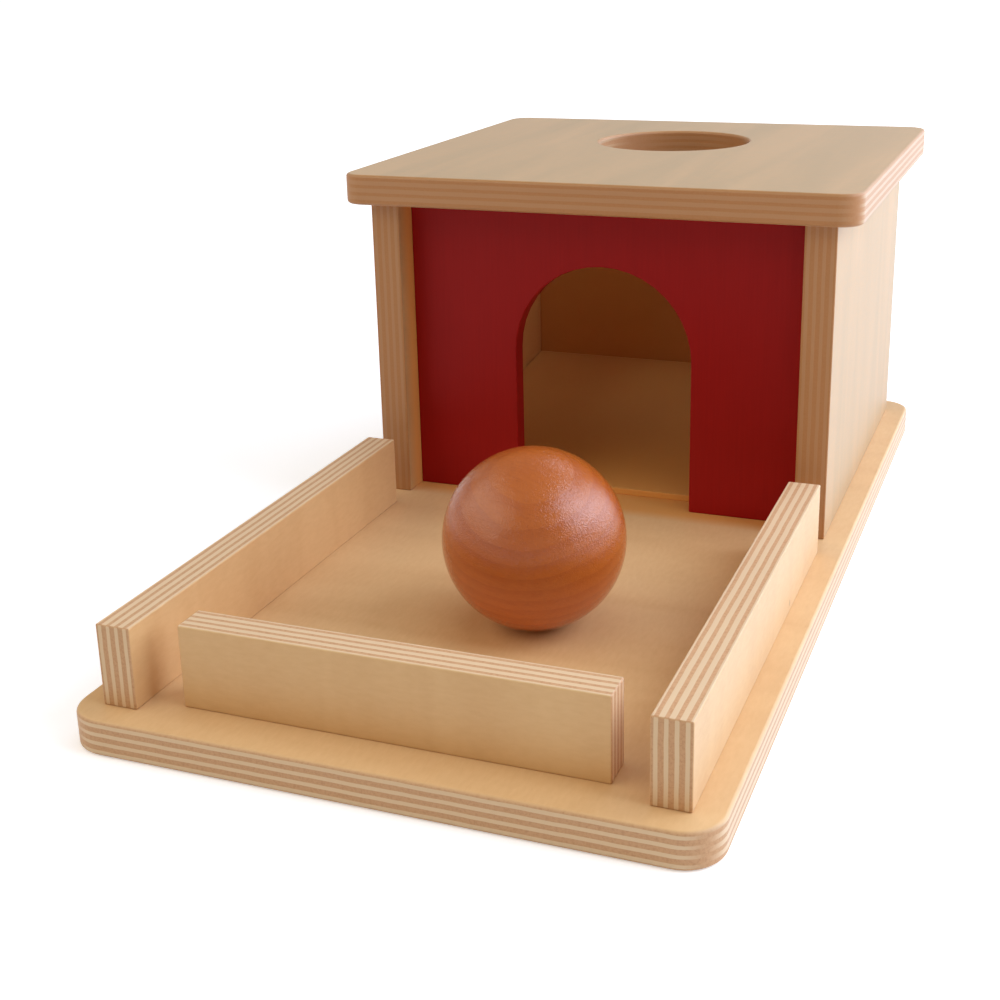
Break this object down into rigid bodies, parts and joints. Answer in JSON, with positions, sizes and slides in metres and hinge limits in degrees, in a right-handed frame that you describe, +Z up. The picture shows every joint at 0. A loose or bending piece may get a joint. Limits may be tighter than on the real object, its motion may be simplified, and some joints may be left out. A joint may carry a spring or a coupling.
{
  "type": "object permanence box",
  "caption": "Wooden toy box with a round hole in its top, a ramp inside and a red arched doorway, from which a ball rolls out into an open walled tray",
  "frame": {"origin": "centre of the base board's underside, which is the bottom centre of the whole box", "axes": "+X to the right as one looks into the doorway, +Y from the tray to the closed box, +Z up"},
  "size_m": [0.154, 0.3, 0.11],
  "materials": {
    "birch_plywood": "satin clear varnish",
    "ramp_plywood": "thin clear varnish",
    "red_paint": "satin red paint on plywood",
    "varnished_ball": "gloss clear varnish on turned reddish wood",
    "beech": "bare beech"
  },
  "bodies": {
    "box": {"base_board": "birch_plywood", "left_tray_wall": "birch_plywood", "right_tray_wall": "birch_plywood", "front_tray_wall": "birch_plywood", "tray_wall_dowels": "beech", "left_side_panel": "birch_plywood", "right_side_panel": "birch_plywood", "rear_panel": "birch_plywood", "front_arch_panel": "red_paint", "box_foot_dowels": "beech", "ramp_board": "ramp_plywood", "ramp_cleat": "ramp_plywood", "top_board": "birch_plywood", "top_board_dowels": "beech"},
    "ball": {"ball": "varnished_ball"}
  },
  "joints": [
    {"name": "ball_roll", "type": "slide", "parent": "box", "child": "ball", "axis": [-0.1107, 0.9938, 0], "range_m": [-0.0349, 0.086]}
  ]
}
